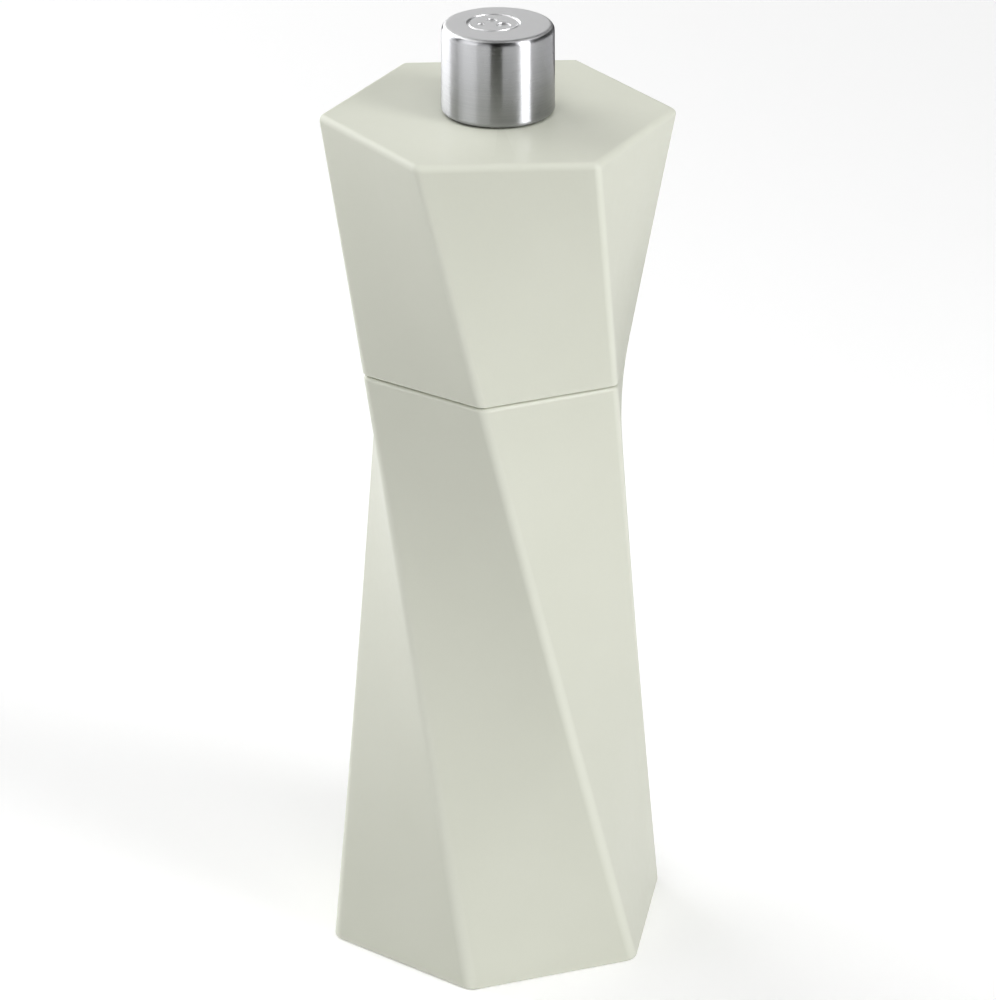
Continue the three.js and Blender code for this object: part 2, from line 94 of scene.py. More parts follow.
# ---- Dimensions of the inside ------------------------------------------------
GLIDE_TOP = HEAD_BOTTOM - 0.02
GLIDE_WIDTH = 3
CHAMBER_R = 15
STATOR_BORE_R = 17.2
STATOR_LEDGE = 23.1
RECESS_R = 22.6
PLATE_LEDGE = 9
TENON_R = 14.6
SPINDLE_BORE_R = 4.8
SPINDLE_BORE_TOP = 152
THREAD_HOLE_R = 3.1
GRIND_ZONE_TOP = 14
GRIND_MOUTH_R = 14.6
GRIND_SLOPE = 0.5
GRIND_GAP = 0.55
FINE_TEETH = 24
FLUTES = 8
TOOTH_STEPS = 7
TOOTH_SEGMENTS = 240
SQUARE_HOLE = 6.3
SQUARE_LOW = 12.7
SQUARE_HIGH = 150
THREAD_R = 2.45
THREAD_PITCH = 0.8
STUB_R = 1.95
STUB_PITCH = 0.7
STUB_HOLE_R = 2.25
PLATE_HOLE_R = 15.3
SCREW_HOLE_R = 1.5
SHANK_R = 1.2
INSERT_BORE_R = 2.75

# ---- Steps round curved surfaces, and how far a cutting tool runs past a face 
SHELL_SEGMENTS = 160
SQUARE_SEGMENTS = 96
THREAD_STEPS = 8
PAST = 1


# ---- Meshes ------------------------------------------------------------------
def make_mesh(name, points, faces, *materials):
    """A new object from points in millimetres."""
    mesh = bpy.data.meshes.new(name)
    mesh.from_pydata([Vector(point) * MM for point in points], [], faces)
    for material in materials:
        mesh.materials.append(material)
    mesh.validate()
    piece = bpy.data.objects.new(name, mesh)
    bpy.context.scene.collection.objects.link(piece)
    return piece


def skin(name, sections, *materials, ring=False):
    """Joins sections of equally many points into one closed surface. The sections run anticlockwise
    seen from above, upwards; with ring, the last one joins back to the first."""
    count = len(sections[0])
    points = [point for section in sections for point in section]
    levels = len(sections)
    faces = []
    for level in range(levels if ring else levels - 1):
        low = level * count
        high = (level + 1) % levels * count
        for i in range(count):
            j = (i + 1) % count
            faces.append((low + i, low + j, high + j, high + i))
    if not ring:
        faces.append(tuple(reversed(range(count))))
        faces.append(tuple(range(len(points) - count, len(points))))
    return make_mesh(name, points, faces, *materials)


def circle(radius, z, segments, turn=0):
    """A round section. The radius is a number or a function of the angle. The first point is at the
    turn."""
    at = radius if callable(radius) else lambda angle: radius
    angles = [turn + i / segments * TURN for i in range(segments)]
    return [(at(a) * math.cos(a), at(a) * math.sin(a), z) for a in angles]


def rounded(corners, closed=True, steps=5):
    """A (radius, z) outline from (radius, z, fillet) corners, with each fillet in so many steps."""
    outline = []
    for i, (radius, z, fillet) in enumerate(corners):
        here = Vector((radius, z))
        if fillet == 0 or (not closed and i in (0, len(corners) - 1)):
            outline.append(here)
            continue
        before = (Vector(corners[i - 1][:2]) - here).normalized()
        after = (Vector(corners[(i + 1) % len(corners)][:2]) - here).normalized()
        half = before.angle(after) / 2
        centre = here + (before + after).normalized() * fillet / math.sin(half)
        reach = fillet / math.tan(half)
        start = here + before * reach - centre
        end = here + after * reach - centre
        from_angle = math.atan2(start.y, start.x)
        sweep = (math.atan2(end.y, end.x) - from_angle + math.pi) % TURN - math.pi
        for step in range(steps + 1):
            angle = from_angle + sweep * step / steps
            outline.append(centre + fillet * Vector((math.cos(angle), math.sin(angle))))
    return outline


def lathe(name, outline, *materials, segments=96, closed=True):
    """Turns an outline about the Z axis. The outline runs with the material on its left: up the
    outside and down the inside. An open outline starts and ends close to the axis."""
    least = 0.001
    sections = [circle(max(radius, least), z, segments) for radius, z in outline]
    return skin(name, sections, *materials, ring=closed)


def bake(piece):
    """Applies the piece's modifiers."""
    evaluated = piece.evaluated_get(bpy.context.evaluated_depsgraph_get())
    mesh = bpy.data.meshes.new_from_object(evaluated)
    piece.modifiers.clear()
    piece.data = mesh
    return piece


def cut(piece, *tools, operation="DIFFERENCE"):
    """Cuts the tools out of the piece, or joins or intersects them with it. Cut faces take the
    tool's material."""
    for tool in tools:
        modifier = piece.modifiers.new("cut", "BOOLEAN")
        modifier.object = tool
        modifier.operation = operation
        modifier.solver = "EXACT"
        modifier.material_mode = "TRANSFER"
    bake(piece)
    for tool in tools:
        bpy.data.objects.remove(tool)
    return piece


def bevelled(piece, width, angle=35):
    """Breaks every edge sharper than the angle, as tumbling or stamping does."""
    modifier = piece.modifiers.new("bevel", "BEVEL")
    modifier.width = width * MM
    modifier.segments = 2
    modifier.limit_method = "ANGLE"
    modifier.angle_limit = math.radians(angle)
    return bake(piece)


def smooth(piece, angle=35):
    """Shades the piece smooth, with flat faces kept flat and edges over the angle kept sharp."""
    piece.data.shade_smooth()
    piece.data.set_sharp_from_angle(angle=math.radians(angle))
    modifier = piece.modifiers.new("normals", "WEIGHTED_NORMAL")
    modifier.keep_sharp = True
    return bake(piece)


def combine(piece, *others):
    """Joins other meshes into the piece."""
    chosen = [piece, *others]
    with bpy.context.temp_override(active_object=piece, selected_editable_objects=chosen):
        bpy.ops.object.join()
    return piece


def shift(piece, x, y, z=0):
    """Moves the piece's mesh, in millimetres."""
    piece.data.transform(Matrix.Translation(Vector((x, y, z)) * MM))
    return piece


def place(piece, body, slot, *nodes):
    """Puts a finished piece on its body, in the place of its CAD nodes."""
    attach(piece, body)
    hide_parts(*nodes)
    return piece


# ---- Materials ---------------------------------------------------------------
class Finish:
    """A material: one Principled shader and the nodes that vary it."""

    def __init__(self, name, **values):
        self.material = bpy.data.materials.new(name)
        self.material.use_nodes = True
        self.tree = self.material.node_tree
        self.shader = self.tree.nodes["Principled BSDF"]
        for socket, value in values.items():
            self.set(socket.replace("_", " "), value)

    def set(self, socket, value):
        """Feeds one of the shader's inputs, named by its lower-case words."""
        name = next(i.name for i in self.shader.inputs if i.name.lower() == socket)
        self.feed(self.shader.inputs[name], value)

    def feed(self, socket, value):
        """Links another node's output to the socket, or sets the socket's own value."""
        if isinstance(value, bpy.types.NodeSocket):
            self.tree.links.new(value, socket)
        elif socket.type == "RGBA" and len(value) == 3:
            socket.default_value = (*value, 1)
        else:
            socket.default_value = value

    def node(self, kind, inputs, output=0, **settings):
        """Adds a node and returns one of its outputs."""
        made = self.tree.nodes.new("ShaderNode" + kind)
        for key, value in settings.items():
            setattr(made, key, value)
        for key, value in inputs.items():
            self.feed(made.inputs[key], value)
        return made.outputs[output]

    def position(self, x=1, y=1, z=1):
        """Where a point of the object is, in millimetres, stretched by the three factors."""
        where = self.node("TexCoord", {}, output="Object")
        scale = (x / MM, y / MM, z / MM)
        return self.node("Mapping", {"Vector": where, "Scale": scale})

    def noise(self, vector, scale, detail=3):
        """Cloudy noise, with so many cycles for each unit of the vector."""
        return self.node("TexNoise", {"Vector": vector, "Scale": scale, "Detail": detail})

    def spread(self, value, low, high, out_low=0, out_high=1):
        """Maps low..high of a value onto out_low..out_high, clamped."""
        inputs = {"Value": value, "From Min": low, "From Max": high}
        return self.node("MapRange", {**inputs, "To Min": out_low, "To Max": out_high})

    def blend(self, share, a, b):
        """Mixes two colours: the first at share 0 and the second at share 1."""
        mix = self.tree.nodes.new("ShaderNodeMix")
        mix.data_type = "RGBA"
        colour_inputs = [i for i in mix.inputs if i.type == "RGBA"]
        self.feed(mix.inputs[0], share)
        self.feed(colour_inputs[0], a)
        self.feed(colour_inputs[1], b)
        return next(o for o in mix.outputs if o.type == "RGBA")

    def bump(self, *layers):
        """Adds relief from (height, depth in millimetres) layers."""
        normal = None
        for height, depth in layers:
            inputs = {"Height": height, "Distance": depth * MM, "Strength": 1.0}
            if normal is not None:
                inputs["Normal"] = normal
            normal = self.node("Bump", inputs)
        self.set("normal", normal)


def lacquer():
    """Satin sage grey lacquer, with a painted highlight that makes it paler where the "edge" attribute
    says that an edge is rounded. The wood's grain shows through only as a trace of relief."""
    finish = Finish("sage_lacquer", specular_ior_level=0.35, coat_weight=0.05, coat_roughness=0.3)
    where = finish.position()
    cloud = finish.noise(where, 0.035, detail=2)
    speckle = finish.noise(where, 3.2, detail=2)
    colour = finish.blend(
        finish.spread(cloud, 0.35, 0.65), (0.646, 0.660, 0.566), (0.662, 0.675, 0.582)
    )
    colour = finish.blend(finish.spread(speckle, 0.55, 0.8, 0, 0.25), colour, (0.62, 0.635, 0.545))
    # Painted highlight: the rounded edges get a paler colour, standing in for the gloss that catches
    # the light there.
    edge = finish.node("Attribute", {}, output="Fac", attribute_name="edge")
    finish.set("base color", finish.blend(edge, colour, (0.718, 0.733, 0.638)))
    finish.set("roughness", finish.spread(finish.noise(where, 0.5), 0.3, 0.7, 0.40, 0.47))
    grain = finish.noise(finish.position(1.6, 1.6, 0.06), 1.0, detail=4)
    peel = finish.noise(where, 1.1, detail=1)
    finish.bump((grain, 0.006), (peel, 0.008))
    return finish.material


def beech():
    """Bare turned beech: pink-brown wood with short dark rays along the grain."""
    finish = Finish("bare_beech", specular_ior_level=0.25)
    where = finish.position(0.16, 0.05, 0.012)
    inputs = {"Vector": where, "Scale": 1.0, "Distortion": 3.5, "Detail": 3.0}
    rings = finish.node("TexWave", inputs, wave_type="BANDS")
    fibres = finish.noise(finish.position(5, 5, 0.22), 1.0, detail=4)
    rays = finish.noise(finish.position(3.2, 3.2, 0.55), 1.0, detail=1)
    wood = finish.blend(finish.spread(rings, 0, 1), (0.60, 0.40, 0.235), (0.70, 0.49, 0.305))
    wood = finish.blend(finish.spread(fibres, 0.35, 0.75, 0, 0.45), wood, (0.48, 0.30, 0.165))
    wood = finish.blend(finish.spread(rays, 0.66, 0.72, 0, 0.6), wood, (0.30, 0.165, 0.085))
    finish.set("base color", wood)
    finish.set("roughness", finish.spread(fibres, 0.3, 0.7, 0.5, 0.68))
    turning = finish.noise(finish.position(0.08, 0.08, 4), 1.0, detail=2)
    finish.bump((fibres, 0.03), (turning, 0.02))
    return finish.material


def brushed_steel():
    """Stainless steel with fine lines brushed round the axis. Its colour has painted shade that
    darkens it towards the knob's rim.
    """
    finish = Finish("brushed_steel", metallic=1.0, anisotropic=1.0, anisotropic_rotation=0.25)
    finish.set("tangent", finish.node("Tangent", {}, direction_type="RADIAL", axis="Z"))
    fine = finish.noise(finish.position(0.12, 0.12, 24), 1.0, detail=2)
    coarse = finish.noise(finish.position(0.06, 0.06, 5), 1.0, detail=3)
    # Painted shade: the colour darkens from the top down to the rim, standing in for the dimmer
    # reflections near the head's top.
    height = finish.node("SeparateXYZ", {"Vector": finish.position()}, output="Z")
    rim_shade_fade = finish.spread(height, KNOB_RIM, KNOB_TOP)
    tint = finish.blend(rim_shade_fade, (0.41, 0.415, 0.435), (0.57, 0.575, 0.595))
    streaks = finish.spread(coarse, 0.3, 0.7, 0, 0.2)
    finish.set("base color", finish.blend(streaks, tint, (0.68, 0.68, 0.69)))
    finish.set("roughness", finish.spread(fine, 0.3, 0.7, 0.27, 0.33))
    finish.bump((fine, 0.0015))
    return finish.material


def satin_steel():
    """The knob's top face: the same steel, bead-blasted and then lightly brushed one way."""
    finish = Finish("satin_steel", metallic=1.0)
    lines = finish.noise(finish.position(0.5, 14, 14), 1.0, detail=3)
    grit = finish.noise(finish.position(), 9.0, detail=2)
    finish.set("base color", finish.blend(lines, (0.8, 0.805, 0.81), (0.9, 0.9, 0.905)))
    finish.set("roughness", finish.spread(grit, 0.3, 0.7, 0.4, 0.5))
    finish.bump((grit, 0.002), (lines, 0.002))
    return finish.material


def plated_steel():
    """Zinc-plated sheet and fasteners, a little cloudy, with a trace of yellow passivation."""
    finish = Finish("zinc_plate", metallic=1.0)
    where = finish.position()
    cloud = finish.noise(where, 0.22, detail=2)
    crystals = finish.noise(where, 2.4, detail=3)
    scratches = finish.noise(finish.position(0.4, 9, 0.4), 1.0, detail=3)
    tint = finish.blend(finish.spread(cloud, 0.3, 0.75), (0.61, 0.615, 0.625), (0.65, 0.64, 0.61))
    tint = finish.blend(finish.spread(crystals, 0.5, 0.75, 0, 0.3), tint, (0.54, 0.545, 0.56))
    finish.set("base color", tint)
    finish.set("roughness", finish.spread(crystals, 0.3, 0.7, 0.27, 0.38))
    finish.bump((scratches, 0.002), (crystals, 0.003))
    return finish.material


def hard_steel():
    """Dark hardened steel of the grinder, with fine machining marks and a thin film of oil."""
    finish = Finish("hardened_steel", metallic=1.0)
    where = finish.position()
    cloud = finish.noise(where, 0.16, detail=2)
    grain = finish.noise(where, 5.0, detail=3)
    lines = finish.noise(finish.position(0.25, 0.25, 7), 1.0, detail=2)
    tint = finish.blend(finish.spread(cloud, 0.3, 0.75), (0.235, 0.235, 0.245), (0.285, 0.28, 0.27))
    tint = finish.blend(finish.spread(grain, 0.5, 0.8, 0, 0.35), tint, (0.19, 0.19, 0.2))
    finish.set("base color", tint)
    finish.set("roughness", finish.spread(lines, 0.3, 0.7, 0.33, 0.46))
    finish.bump((grain, 0.004), (lines, 0.004))
    return finish.material


def spring_steel():
    """Drawn spring wire, dark and a little glossy."""
    finish = Finish("spring_wire", metallic=1.0)
    tone = finish.noise(finish.position(), 0.9, detail=3)
    lines = finish.noise(finish.position(1.5, 1.5, 14), 1.0, detail=2)
    finish.set("base color", finish.blend(tone, (0.30, 0.30, 0.31), (0.42, 0.41, 0.40)))
    finish.set("roughness", finish.spread(lines, 0.3, 0.7, 0.22, 0.36))
    finish.bump((lines, 0.003))
    return finish.material


def brass():
    """Machined brass with turning lines."""
    finish = Finish("turned_brass", metallic=1.0)
    tone = finish.noise(finish.position(), 0.8, detail=3)
    lines = finish.noise(finish.position(0.2, 0.2, 10), 1.0, detail=2)
    finish.set("base color", finish.blend(tone, (0.62, 0.40, 0.13), (0.74, 0.52, 0.20)))
    finish.set("roughness", finish.spread(lines, 0.3, 0.7, 0.2, 0.36))
    finish.bump((lines, 0.004))
    return finish.material


def nylon():
    """Natural nylon: slightly see-through, with faint turning lines."""
    finish = Finish("natural_nylon", subsurface_weight=0.25, subsurface_scale=0.001)
    tone = finish.noise(finish.position(), 0.4, detail=3)
    lines = finish.noise(finish.position(3, 3, 3), 1.0, detail=2)
    finish.set("base color", finish.blend(tone, (0.78, 0.76, 0.69), (0.84, 0.83, 0.78)))
    finish.set("roughness", finish.spread(tone, 0.3, 0.7, 0.42, 0.55))
    finish.bump((lines, 0.006))
    return finish.material


def black_plastic():
    """Moulded black plastic with a fine spark-eroded grain."""
    finish = Finish("black_plastic", specular_ior_level=0.45)
    grain = finish.noise(finish.position(), 7.0, detail=2)
    tone = finish.noise(finish.position(), 0.5, detail=2)
    finish.set("base color", finish.blend(tone, (0.011, 0.011, 0.012), (0.018, 0.018, 0.019)))
    finish.set("roughness", finish.spread(grain, 0.3, 0.7, 0.45, 0.65))
    finish.bump((grain, 0.012))
    return finish.material


LACQUER = lacquer()
BEECH = beech()
BRUSHED_STEEL = brushed_steel()
SATIN_STEEL = satin_steel()
PLATED_STEEL = plated_steel()
HARD_STEEL = hard_steel()
SPRING_STEEL = spring_steel()
BRASS = brass()
NYLON = nylon()
BLACK_PLASTIC = black_plastic()


# ---- The twisted shells ------------------------------------------------------
def twisted_section(z, inset):
    """One level of the outside, drawn in by the inset. Each long edge is a straight line from a top
    corner to a base corner."""
    top = Vector((TOP_CORNER_R, 0))
    base = BASE_CORNER_R * Vector((math.cos(TWIST), math.sin(TWIST)))
    corner = top.lerp(base, 1 - z / HEAD_TOP)
    turn = math.atan2(corner.y, corner.x)
    edge_r = BASE_EDGE_R + z / HEAD_TOP * (TOP_EDGE_R - BASE_EDGE_R)
    least_r = 0.15
    round_r = max(edge_r - inset, least_r)
    centre_r = corner.length - (inset + round_r) / math.cos(TURN / SIDES / 2)
    points = []
    for side in range(SIDES):
        facing = turn + side / SIDES * TURN
        centre = centre_r * Vector((math.cos(facing), math.sin(facing)))
        for step in range(EDGE_STEPS + 1):
            angle = facing + (step / EDGE_STEPS - 0.5) * TURN / SIDES
            points.append(centre + round_r * Vector((math.cos(angle), math.sin(angle))))
    section = []
    for i, point in enumerate(points):
        section.append((*point, z))
        if i % (EDGE_STEPS + 1) == EDGE_STEPS:
            after = points[(i + 1) % len(points)]
            between = [point.lerp(after, k / SIDE_STEPS) for k in range(1, SIDE_STEPS)]
            section.extend((*p, z) for p in between)
    return section


def fillet_levels(end, radius, inward):
    """(z, inset) over a rounded edge, from the end face to where the side begins."""
    angles = [(1 - i / FILLET_STEPS) * TURN / 4 for i in range(FILLET_STEPS + 1)]
    return [
        (end + inward * radius * (1 - math.sin(angle)), radius * (1 - math.cos(angle)))
        for angle in angles
    ]


def twisted_prism(name, low, high, low_fillet, high_fillet):
    """A length of the mill's outside, solid, with a rounded rim at each end."""
    start = low + low_fillet
    end = high - high_fillet
    bands = round((end - start) / LEVEL_SPACING)
    sides = [(start + i / bands * (end - start), 0) for i in range(1, bands)]
    levels = fillet_levels(low, low_fillet, 1) + sides + fillet_levels(high, high_fillet, -1)[::-1]
    prism = skin(name, [twisted_section(z, inset) for z, inset in levels], LACQUER, BEECH)
    mark_edge_highlights(prism, len(sides))
    return prism


def rise_and_fall(steps):
    """Numbers that go from 0 up to 1 and back, over an edge that is rounded in so many steps."""
    return [1 - (2 * i / steps - 1) ** 2 for i in range(steps + 1)]


def mark_edge_highlights(prism, side_levels):
    """Stores how much each point is on a rounded edge, because the lacquer's colour has a painted
    highlight there. Each level has a share of the painted highlight along the long edges, and one that
    holds all the way round."""
    rim = []
    for i, all_round in enumerate(rise_and_fall(FILLET_STEPS)):
        rim.append((all_round if i < FILLET_STEPS / 2 else 1, all_round))
    over_one_side = rise_and_fall(EDGE_STEPS) + [0] * (SIDE_STEPS - 1)
    values = []
    for on_long_edges, all_round in rim + [(1, 0)] * side_levels + rim[::-1]:
        values += [max(on_long_edges * share, all_round) for share in over_one_side] * SIDES
    # How strongly each point gets the painted edge highlight.
    edge = prism.data.attributes.new("edge", "FLOAT", "POINT")
    edge.data.foreach_set("value", values)


def body_shell():
    """The body, with the chamber for the corns, the grinder's seat and the glide ring's groove."""
    chamfer = 0.5
    play = 0.2
    hollow = [
        (0, -PAST), (RECESS_R + chamfer, -PAST), (RECESS_R + chamfer, 0), (RECESS_R, chamfer),
        (RECESS_R, PLATE_LEDGE), (STATOR_BORE_R, PLATE_LEDGE), (STATOR_BORE_R, STATOR_LEDGE),
        (CHAMBER_R, STATOR_LEDGE), (CHAMBER_R, BODY_TOP - chamfer), (CHAMBER_R + chamfer, BODY_TOP),
        (CHAMBER_R + chamfer, BODY_TOP + PAST), (0, BODY_TOP + PAST),
    ]
    seat_low = GLIDE_LOW - play / 2
    seat_inner = GLIDE_R - GLIDE_WIDTH - play
    seat_outer = GLIDE_R + play
    ring_seat = [
        (seat_inner, seat_low), (seat_outer, seat_low),
        (seat_outer, BODY_TOP + PAST), (seat_inner, BODY_TOP + PAST),
    ]
    shell = twisted_prism("body_wood", 0, BODY_TOP, BASE_FILLET, BODY_TOP_FILLET)
    cut(
        shell,
        lathe("hollow", hollow, BEECH, segments=SHELL_SEGMENTS, closed=False),
        lathe("ring_seat", ring_seat, BEECH, segments=SHELL_SEGMENTS),
    )
    return place(smooth(shell), "mill_body", "lacquered_wood", "body_shell")


def head_shell():
    """The head, with the tenon that turns in the body, the drive plate's seat and the bore."""
    shell = twisted_prism("head_wood", HEAD_BOTTOM, HEAD_TOP, HEAD_BOTTOM_FILLET, TOP_FILLET)
    root = HEAD_BOTTOM + 2
    tenon = [
        (0, TENON_BOTTOM, 0), (TENON_R, TENON_BOTTOM, 0.7), (TENON_R, root, 0), (0, root, 0),
    ]
    plug = lathe(
        "tenon", rounded(tenon, closed=False), BEECH, segments=SHELL_SEGMENTS, closed=False
    )
    cut(shell, plug, operation="UNION")
    plate_seat = span("drive_plate")[2] + 0.1
    seat_r = span("drive_plate")[0] + 0.3
    chamfer = 0.3
    bore = [
        (0, TENON_BOTTOM - PAST), (seat_r, TENON_BOTTOM - PAST), (seat_r, plate_seat),
        (SPINDLE_BORE_R, plate_seat), (SPINDLE_BORE_R, SPINDLE_BORE_TOP),
        (THREAD_HOLE_R, SPINDLE_BORE_TOP), (THREAD_HOLE_R, HEAD_TOP - chamfer),
        (THREAD_HOLE_R + chamfer, HEAD_TOP), (THREAD_HOLE_R + chamfer, HEAD_TOP + PAST),
        (0, HEAD_TOP + PAST),
    ]
    cut(shell, lathe("bore", bore, BEECH, closed=False))
    return place(smooth(shell), "head", "lacquered_wood", "head_shell")


body_shell()
head_shell()


# ---- The knob ----------------------------------------------------------------
def knob_cap():
    """A drawn steel cup with a rounded top edge. A ring and three dots are pressed into its top."""
    top_r = KNOB_R - 0.15
    inner_r = 8.7
    inner_top = KNOB_TOP - 2
    corners = [
        (inner_r, KNOB_RIM, 0.15), (KNOB_R, KNOB_RIM, 0.9), (top_r, KNOB_TOP, 1.1), (0, KNOB_TOP, 0),
    ]
    outline = [(0, inner_top), (inner_r, inner_top), *rounded(corners, closed=False, steps=10)]
    cap = lathe("steel_knob", outline, BRUSHED_STEEL, SATIN_STEEL, segments=192, closed=False)
    cut(cap, pressed_ring(radius=4.6, half_width=0.35, x=-0.8, y=0.6))
    cut(cap, pressed_dot(0.7, -3.0, 0.0), pressed_dot(1.0, -1.0, 2.1), pressed_dot(1.35, 1.0, -0.7))
    finish_top(cap)
    return place(smooth(cap), "knob", "brushed_steel", "knob_cap")


def finish_top(cap):
    """Gives the faces that look up from the top their satin finish, which is the second material."""
    lowest = (KNOB_TOP - 1) * MM
    least_upward = 0.7
    for face in cap.data.polygons:
        if face.center.z > lowest and face.normal.z > least_upward:
            face.material_index = 1


def pressed_ring(radius, half_width, x, y):
    """A tool that presses a ring with a round bottom into the knob's top."""
    outline = [(radius + across, up) for across, up, _ in circle(half_width, 0, 16)]
    tool = lathe("ring", outline, SATIN_STEEL, segments=128)
    return shift(tool, x, y, KNOB_TOP)


def pressed_dot(radius, x, y):
    """A tool that presses a round, flat-bottomed dot into the knob's top."""
    bottom = KNOB_TOP - 0.3
    above = 0.5
    corners = [
        (0, bottom, 0), (radius, bottom, 0.2), (radius, KNOB_TOP, 0),
        (radius + above, KNOB_TOP + above, 0), (0, KNOB_TOP + above, 0),
    ]
    tool = lathe("dot", rounded(corners, closed=False), SATIN_STEEL, segments=64, closed=False)
    return shift(tool, x, y)


knob_cap()


# ---- Shapes that the inner pieces share --------------------------------------
def offset(radius, distance):
    """The same radius, or radius function, moved outwards."""
    return (lambda angle: radius(angle) + distance) if callable(radius) else radius + distance


def collar(name, outer, inner, low, high, *materials, edge=0.12, segments=SQUARE_SEGMENTS):
    """A flat piece with a hole and broken edges. The outer and inner radius can each be a function of
    the angle."""
    levels = [
        (offset(outer, -edge), low), (outer, low + edge), (outer, high - edge),
        (offset(outer, -edge), high), (offset(inner, edge), high), (inner, high - edge),
        (inner, low + edge), (offset(inner, edge), low),
    ]
    return skin(name, [circle(radius, z, segments) for radius, z in levels], *materials, ring=True)


def square(side, corner=0.35):
    """The radius of a square with chamfered corners, as a function of the angle."""

    def radius(angle):
        x, y = abs(math.cos(angle)), abs(math.sin(angle))
        return min(side / 2 / max(x, y), (side - corner) / (x + y))

    return radius


def hexagon(across_flats):
    """The radius of a hexagon with two flats across Y, as a function of the angle."""

    def radius(angle):
        off_flat = angle % (TURN / 6) - TURN / 12
        return across_flats / 2 / math.cos(off_flat)

    return radius


def threaded(name, radius, pitch, low, high, *materials, segments=36):
    """A threaded rod with a chamfered tip at its high end."""
    depth = 0.6 * pitch
    tip_r = radius - depth
    steps = round((high - low) / pitch * THREAD_STEPS)
    sections = []
    for i in range(steps + 1):
        z = low + i / steps * (high - low)
        tip = tip_r + max(high - z, 0) + 0.15

        def crest(angle):
            phase = (z / pitch - angle / TURN) % 1
            return min(radius - depth * abs(2 * phase - 1), tip)

        sections.append(circle(crest, z, segments))
    return skin(name, sections, *materials)


def fine_teeth(phase):
    """The height of the fine teeth round a turn, from 0 to 1."""
    return abs(1 - 2 * (phase * FINE_TEETH / TURN % 1))


def feed_flutes(phase):
    """The height of the broad flutes round a turn, from 0 to 1. One side of each is steep."""
    share = phase * FLUTES / TURN % 1
    return 1 - share * 1.5 if share < 2 / 3 else (share - 2 / 3) * 3


def toothed(levels, outside=None):
    """Sections of a toothed cone. Each level is (z, root radius, depth, teeth, turn). The teeth and
    their turn change evenly from one level to the next, and the points follow the teeth. With outside,
    the sections are plain ones of that radius, for a wall behind the teeth."""
    sections = []
    for low, high in zip(levels, levels[1:]):
        for step in range(TOOTH_STEPS):
            sections.append(toothed_section(low, high, step / TOOTH_STEPS, outside))
    sections.append(toothed_section(levels[-1], levels[-1], 0, outside))
    return sections


def toothed_section(low, high, share, outside):
    """The section at a share of the way from one level to the next."""
    low_z, low_root, low_depth, low_teeth, low_turn = low
    high_z, high_root, high_depth, high_teeth, high_turn = high
    z = low_z + share * (high_z - low_z)
    turn = low_turn + share * (high_turn - low_turn)

    def teeth(angle):
        near = low_root + low_depth * low_teeth(angle - turn)
        far = high_root + high_depth * high_teeth(angle - turn)
        return near + share * (far - near)

    return circle(outside(z) if outside else teeth, z, TOOTH_SEGMENTS, turn)


def grind_radius(z):
    """The radius that the stator's fine teeth start from. It narrows up to the grinding zone's top."""
    return GRIND_MOUTH_R - GRIND_SLOPE * (min(z, GRIND_ZONE_TOP) - PLATE_LEDGE)


def rod(name, radius, low, high, material, segments=SQUARE_SEGMENTS):
    """A straight tool. Its radius is a number or a function of the angle."""
    return skin(name, [circle(radius, z, segments) for z in (low, high)], material)


def box_tool(length, width, low, high, narrow, material):
    """A four-sided tool, as long and wide as given at its low end and narrowed at its high end."""
    sections = []
    for z, scale in ((low, 1), (high, narrow)):
        x, y = length / 2 * scale, width / 2 * scale
        sections.append([(-x, -y, z), (x, -y, z), (x, y, z), (-x, y, z)])
    return skin("tool", sections, material)


# ---- The grinder and what holds it -------------------------------------------
def glide_ring():
    """The nylon ring that the head slides on."""
    inner = GLIDE_R - GLIDE_WIDTH
    corners = [
        (inner, GLIDE_LOW, 0.1), (GLIDE_R, GLIDE_LOW, 0.1),
        (GLIDE_R, GLIDE_TOP, 0.3), (inner, GLIDE_TOP, 0.3),
    ]
    ring = lathe("nylon_glide", rounded(corners), NYLON, segments=SHELL_SEGMENTS)
    return place(smooth(ring), "mill_body", "nylon", "glide_ring")


def stator():
    """The outer grinding ring: fine teeth low inside it, and flutes that feed them above."""
    lean = 0.5
    throat = grind_radius(GRIND_ZONE_TOP)
    edge = 0.3
    levels = [
        (STATOR_LOW, grind_radius(STATOR_LOW), 0.7, fine_teeth, 0.045),
        (STATOR_LOW + edge, grind_radius(STATOR_LOW + edge), 0.7, fine_teeth, 0.07),
        (GRIND_ZONE_TOP, throat, 0.7, fine_teeth, lean),
        (STATOR_HIGH - 2, throat, 1.2, feed_flutes, lean + 0.3),
        (STATOR_HIGH - edge, throat + 1.4, 0.38, feed_flutes, lean + 0.37),
        (STATOR_HIGH, throat + 1.6, 0.24, feed_flutes, lean + 0.38),
    ]

    def wall(z):
        return STATOR_R - max(STATOR_LOW + edge - z, z - (STATOR_HIGH - edge), 0)

    sections = toothed(levels, outside=wall) + toothed(levels)[::-1]
    ring = skin("stator_ring", sections, HARD_STEEL, ring=True)
    return place(smooth(ring, 25), "mill_body", "hardened_steel", "stator")


